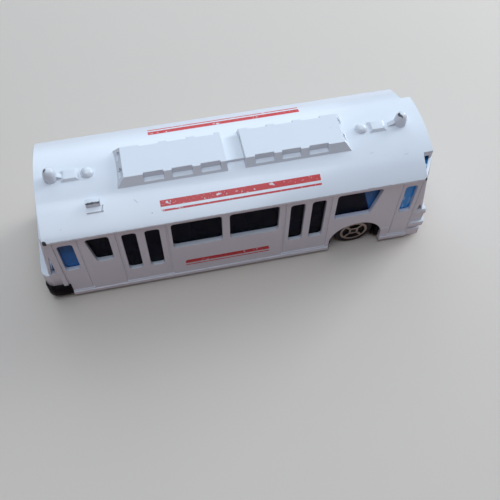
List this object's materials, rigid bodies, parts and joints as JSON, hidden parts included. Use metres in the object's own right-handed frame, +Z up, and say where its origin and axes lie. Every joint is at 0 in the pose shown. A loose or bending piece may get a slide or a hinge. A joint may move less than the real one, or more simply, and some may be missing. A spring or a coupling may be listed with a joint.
{
  "type": "toy airport passenger bus",
  "caption": "Pocket-size die-cast toy of an airport passenger bus: white cast body with arched roof and roof unit, blue glazing, black moulded base and free-rolling wheelsets.",
  "frame": {"origin": "on the ground under the middle of the bus", "axes": "+X towards the front windscreen, +Y to the bus's left side, +Z up"},
  "size_m": [0.0844, 0.025, 0.0293],
  "materials": {
    "white_enamel": "gloss white enamel on cast zinc, chipped to dark metal at a few corners",
    "blue_glazing": "clear blue moulded plastic",
    "black_moulding": "black moulded plastic, slightly glossy",
    "steel_wire": "bright drawn wire",
    "wheel_plastic": "black moulded plastic with a silvered hub relief"
  },
  "bodies": {
    "bus": {"body_shell": "white_enamel", "glazing": "blue_glazing", "interior": "black_moulding", "base": "black_moulding"},
    "front_wheelset": {"axle_front": "steel_wire", "wheel_front_left": "wheel_plastic", "wheel_front_right": "wheel_plastic"},
    "rear_wheelset": {"axle_rear": "steel_wire", "wheel_rear_left": "wheel_plastic", "wheel_rear_right": "wheel_plastic"}
  },
  "joints": [
    {"name": "front_roll", "type": "hinge", "parent": "bus", "child": "front_wheelset", "pos_m": [0.02565, 0, 0.0045], "axis": [0, 1, 0], "continuous": true},
    {"name": "rear_roll", "type": "hinge", "parent": "bus", "child": "rear_wheelset", "pos_m": [-0.029, 0, 0.0045], "axis": [0, 1, 0], "continuous": true}
  ]
}
